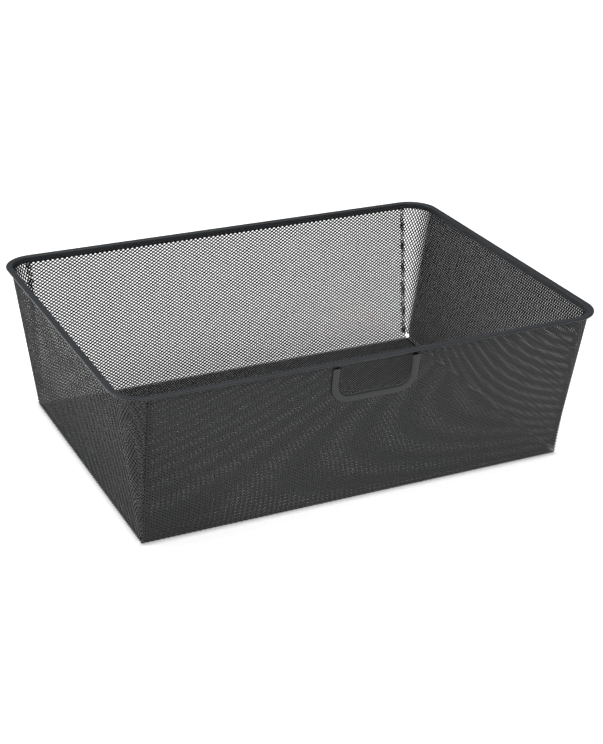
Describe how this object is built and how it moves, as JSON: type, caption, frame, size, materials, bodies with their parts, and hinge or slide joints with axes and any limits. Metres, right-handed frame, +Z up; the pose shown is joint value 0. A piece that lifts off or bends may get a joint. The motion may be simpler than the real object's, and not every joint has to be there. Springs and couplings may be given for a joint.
{
  "type": "wire locker basket",
  "caption": "Open-top rectangular basket of dark expanded metal with a flat overhanging rim, tapered walls and a trimmed hand opening in the front.",
  "frame": {"origin": "centre of the underside of the floor", "axes": "+X along the front to the right, +Y from the front with the hand opening to the back, +Z up"},
  "size_m": [0.58, 0.42, 0.185],
  "materials": {
    "rim_coat": "powder coated, satin charcoal",
    "trim_coat": "powder coated, dark grey",
    "mesh_coat": "powder coated, satin charcoal"
  },
  "bodies": {
    "root": {"rim": "rim_coat", "handle_trim": "trim_coat", "front_panel": "mesh_coat", "floor_panel": "mesh_coat", "back_panel": "mesh_coat", "left_panel": "mesh_coat", "right_panel": "mesh_coat"}
  },
  "joints": []
}
